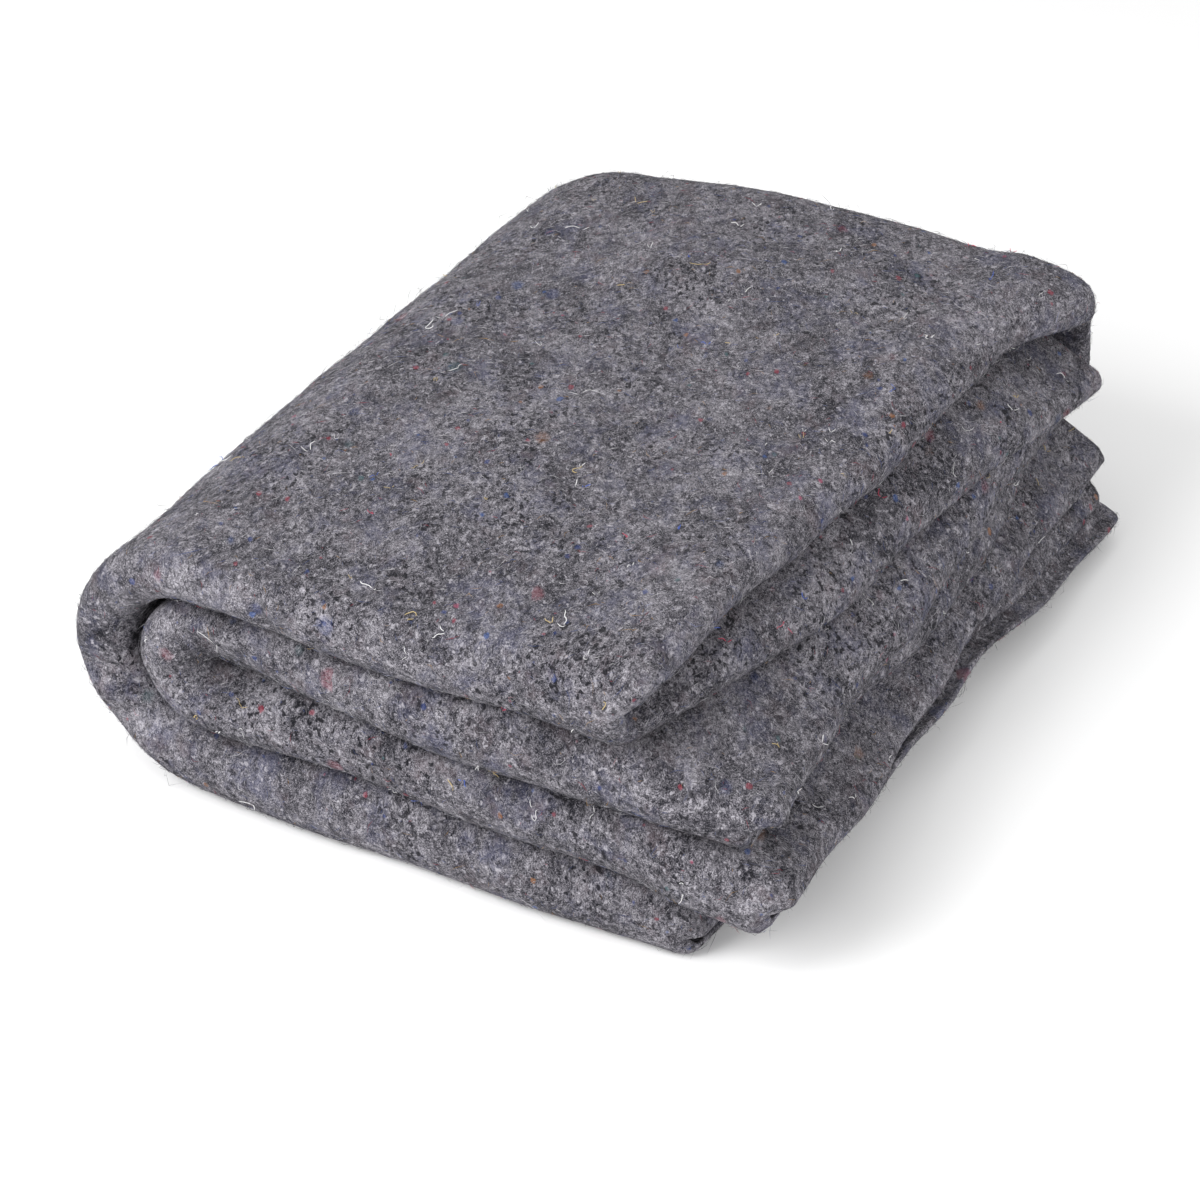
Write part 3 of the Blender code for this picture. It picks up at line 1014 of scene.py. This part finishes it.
def showing_places(count, seed):
    """Random places on the sheet that face open air: points, normals and a random generator."""
    mesh = bpy.data.objects["felt_sheet"].data
    mesh.calc_loop_triangles()
    points = np.empty(len(mesh.vertices) * 3, np.float32)
    mesh.vertices.foreach_get("co", points)
    corners = np.empty(len(mesh.loop_triangles) * 3, np.int32)
    mesh.loop_triangles.foreach_get("vertices", corners)
    points, corners = points.reshape(-1, 3).astype(float), corners.reshape(-1, 3)
    tree = BVHTree.FromPolygons(points.tolist(), corners.tolist(), epsilon=0.0)
    a, b, c = (points[corners[:, k]] for k in range(3))
    normals = np.cross(b - a, c - a)
    areas = np.linalg.norm(normals, axis=1)
    normals = normals / np.maximum(areas, 1e-12)[:, None]
    chance = np.random.default_rng(seed)
    found = []
    while sum(len(part[0]) for part in found) < count:
        chosen = chance.choice(len(corners), size=count * 2, p=areas / areas.sum())
        u, v = chance.random((2, len(chosen), 1))
        u, v = np.where(u + v > 1, 1 - u, u), np.where(u + v > 1, 1 - v, v)
        at = a[chosen] + u * (b[chosen] - a[chosen]) + v * (c[chosen] - a[chosen])
        out = normals[chosen]
        open_air = []
        for start, way in zip((at + out * OPEN_START).tolist(), out.tolist()):
            hit = tree.ray_cast(Vector(start), Vector(way), OPEN_AIR)[0]
            open_air.append(hit is None)
        keep = np.array(open_air) & ((at[:, 2] > FELT) | (out[:, 2] > 0))
        found.append((at[keep], out[keep]))
    at, out = (np.concatenate(part)[:count] for part in zip(*found))
    return at, out, chance


def side_of(normals, chance):
    """A random direction along the surface at each place, and the one square to it."""
    raw = chance.normal(size=normals.shape)
    along = np.cross(normals, raw)
    along = along / np.maximum(np.linalg.norm(along, axis=1, keepdims=True), 1e-9)
    return along, np.cross(normals, along)


def give_colours(piece, values):
    """Keeps each vertex's place on the piece's colour ramp."""
    layer = piece.data.attributes.new("own_colour", "FLOAT", "POINT")
    layer.data.foreach_set("value", values.astype(np.float32))


def make_nap(name, settings, seed, material):
    """Loose fibres: each a thin spindle that is bent at its middle and rises off the felt."""
    at, out, chance = showing_places(settings.count, seed)
    count = len(at)
    along, square = side_of(out, chance)
    length = settings.length * chance.lognormal(0.0, FIBRE_SPREAD, (count, 1))
    standing = chance.random((count, 1)) < STANDING_SHARE
    rise = length * np.where(standing, STANDING_RISE, LYING_RISE)
    rise = rise * chance.random((count, 1))
    bend = length * chance.normal(0.0, FIBRE_BEND, (count, 1))
    radius = settings.radius * chance.uniform(*FIBRE_THICKNESSES, (count, 1))
    start = at - along * length / 2 - out * FIBRE_ROOT
    middle = at + out * rise + square * bend
    end = at + along * length / 2 + out * (rise * chance.uniform(*FIBRE_TIPS, (count, 1)))
    ring = []
    for turn in (0, 2 * np.pi / 3, 4 * np.pi / 3):
        ring.append(middle + radius * (out * np.cos(turn) + square * np.sin(turn)))
    points = np.stack([start, *ring, end], axis=1).reshape(-1, 3)
    shape = np.array([(0, 2, 1), (0, 3, 2), (0, 1, 3), (4, 1, 2), (4, 2, 3), (4, 3, 1)])
    faces = (np.arange(count)[:, None, None] * 5 + shape).reshape(-1, 3)
    points[:, 2] = np.maximum(points[:, 2], FIBRE_CLEAR)
    piece = new_piece(name, points, faces.tolist(), material)
    give_colours(piece, np.repeat(chance.random(count), 5))


def make_threads(name, settings, seed, material):
    """Stray threads: thin round tubes that curl about on the felt with their ends lifted."""
    at, out, chance = showing_places(settings.count, seed)
    points, faces, colours = [], [], []
    for place, normal in zip(at, out):
        along, square = (v[0] for v in side_of(normal[None], chance))
        length = min(THREAD_LENGTH * chance.lognormal(0.0, THREAD_SPREAD), THREAD_LONGEST)
        curl = chance.normal(0.0, 1.0, THREAD_POINTS).cumsum() * chance.uniform(*THREAD_CURLS)
        steps = length / THREAD_POINTS * np.stack([np.cos(curl), np.sin(curl)], axis=1)
        path = steps.cumsum(axis=0)
        path = path - path.mean(axis=0)
        places = np.linspace(-1, 1, THREAD_POINTS)
        lift = THREAD_CLEAR + THREAD_LIFT * chance.random() * np.abs(places) ** 3
        lift = lift + THREAD_WAVE * np.sin(places * chance.uniform(*THREAD_WAVES))
        line = place + path[:, :1] * along + path[:, 1:] * square + lift[:, None] * normal
        ahead = np.gradient(line, axis=0)
        ahead = ahead / np.linalg.norm(ahead, axis=1, keepdims=True)
        sideways = np.cross(ahead, normal)
        sideways = sideways / np.maximum(np.linalg.norm(sideways, axis=1, keepdims=True), 1e-6)
        upward = np.cross(sideways, ahead)
        radius = settings.radius * chance.uniform(*THREAD_THICKNESSES)
        radius = radius * np.where(np.abs(places) == 1, THREAD_TIP, 1.0)[:, None]
        base = len(points)
        for turn in np.arange(THREAD_SIDES) * 2 * np.pi / THREAD_SIDES:
            points.extend(line + radius * (sideways * np.cos(turn) + upward * np.sin(turn)))
        for k in range(THREAD_SIDES):
            one, two = base + k * THREAD_POINTS, base + (k + 1) % THREAD_SIDES * THREAD_POINTS
            for j in range(THREAD_POINTS - 1):
                faces.append((one + j, one + j + 1, two + j + 1, two + j))
        heads = [base + k * THREAD_POINTS for k in range(THREAD_SIDES)]
        faces.append(tuple(heads))
        faces.append(tuple(k + THREAD_POINTS - 1 for k in reversed(heads)))
        colours += [chance.random()] * (THREAD_SIDES * THREAD_POINTS)
    points = np.array(points)
    points[:, 2] = np.maximum(points[:, 2], THREAD_CLEAR)
    piece = new_piece(name, points, faces, material)
    give_colours(piece, np.array(colours))


class BLANKET_OT_nap(bpy.types.Operator):
    """Scatters the loose fibres, pale ones and dark ones, where the felt faces open air"""

    bl_idname = "felt_blanket.nap"
    bl_label = "Raise the nap"

    def execute(self, context):
        settings = context.scene.blanket_nap
        make_nap("pale_nap", settings, PALE_SEED, fibre_finish("pale_fibre", PALE_FIBRES, 0.8))
        make_nap("dark_nap", settings, DARK_SEED, fibre_finish("dark_fibre", DARK_FIBRES, 0.9))
        return {"FINISHED"}


class BLANKET_OT_threads(bpy.types.Operator):
    """Lays the stray curled threads on the felt"""

    bl_idname = "felt_blanket.threads"
    bl_label = "Lay the stray threads"

    def execute(self, context):
        settings = context.scene.blanket_threads
        finish = fibre_finish("stray_thread", THREAD_COLOURS, 0.6)
        make_threads("stray_threads", settings, THREAD_SEED, finish)
        return {"FINISHED"}


class BLANKET_OT_stage(bpy.types.Operator):
    """Sets the pale floor, the soft studio light and the camera"""

    bl_idname = "felt_blanket.stage"
    bl_label = "Set the stage"

    def execute(self, context):
        settings = context.scene.blanket_stage
        floor_finish = Finish("pale_floor")
        floor_finish.set({"Base Color": (*settings.floor_colour, 1.0), "Roughness": 0.9})
        bpy.ops.object.select_all(action="DESELECT")
        bpy.ops.mesh.primitive_plane_add(size=FLOOR_SIZE, location=(0, 0, 0))
        floor = context.object
        floor.name = "floor"
        floor.data.materials.append(floor_finish.material)

        world = bpy.data.worlds.new("studio")
        world.use_nodes = True
        sky = world.node_tree.nodes["Background"]
        sky.inputs["Color"].default_value = (1.0, 1.0, 1.0, 1.0)
        sky.inputs["Strength"].default_value = settings.sky_strength
        context.scene.world = world

        for name, place, size, share in LIGHTS:
            light = bpy.data.lights.new(name, "AREA")
            light.energy, light.size = settings.light_power * share, size
            lamp = bpy.data.objects.new(name, light)
            context.collection.objects.link(lamp)
            lamp.location = place
            lamp.rotation_euler = (-lamp.location).to_track_quat("-Z", "Y").to_euler()
        context.scene.view_settings.view_transform = "Standard"
        set_camera(context)
        return {"FINISHED"}


def set_camera(context):
    """Adds the camera at its place and makes it the scene's own."""
    data = bpy.data.cameras.new("camera")
    data.sensor_fit, data.sensor_width = "HORIZONTAL", CAMERA_SENSOR
    data.lens = CAMERA_LENS
    camera = bpy.data.objects.new("camera", data)
    context.collection.objects.link(camera)
    turn, up = np.radians(CAMERA_ROUND), np.radians(CAMERA_UP)
    back = Vector((np.sin(turn) * np.cos(up), -np.cos(turn) * np.cos(up), np.sin(up)))
    camera.location = Vector(np.array(CAMERA_AIM) - footprint_middle()) + back * CAMERA_AWAY
    camera.rotation_euler = back.to_track_quat("Z", "Y").to_euler()
    context.scene.camera = camera


class BLANKET_PT_panel(bpy.types.Panel):
    """Lists the steps that dress the blanket"""

    bl_idname = "BLANKET_PT_panel"
    bl_label = "Moving Blanket"
    bl_space_type = "VIEW_3D"
    bl_region_type = "UI"
    bl_category = "Blanket"

    def draw(self, context):
        for operator, group in STEPS:
            box = self.layout.box()
            box.operator(operator.bl_idname)
            for prop in getattr(context.scene, group).bl_rna.properties.keys():
                if prop not in ("rna_type", "name"):
                    box.prop(getattr(context.scene, group), prop)


GROUPS = {
    "blanket_sheet": SheetSettings,
    "blanket_felt": FeltColours,
    "blanket_nap": NapSettings,
    "blanket_threads": ThreadSettings,
    "blanket_stage": StageSettings,
}
STEPS = [
    (BLANKET_OT_sheet, "blanket_sheet"),
    (BLANKET_OT_nap, "blanket_nap"),
    (BLANKET_OT_threads, "blanket_threads"),
    (BLANKET_OT_stage, "blanket_stage"),
]
CLASSES = [*GROUPS.values(), *(operator for operator, group in STEPS), BLANKET_PT_panel]


def register():
    for cls in CLASSES:
        bpy.utils.register_class(cls)
    for name, group in GROUPS.items():
        setattr(bpy.types.Scene, name, PointerProperty(type=group))


def unregister():
    for name in GROUPS:
        delattr(bpy.types.Scene, name)
    for cls in reversed(CLASSES):
        bpy.utils.unregister_class(cls)


def main():
    register()
    bpy.ops.felt_blanket.sheet()
    bpy.ops.felt_blanket.nap()
    bpy.ops.felt_blanket.threads()
    bpy.ops.felt_blanket.stage()


if __name__ == "__main__":
    main()
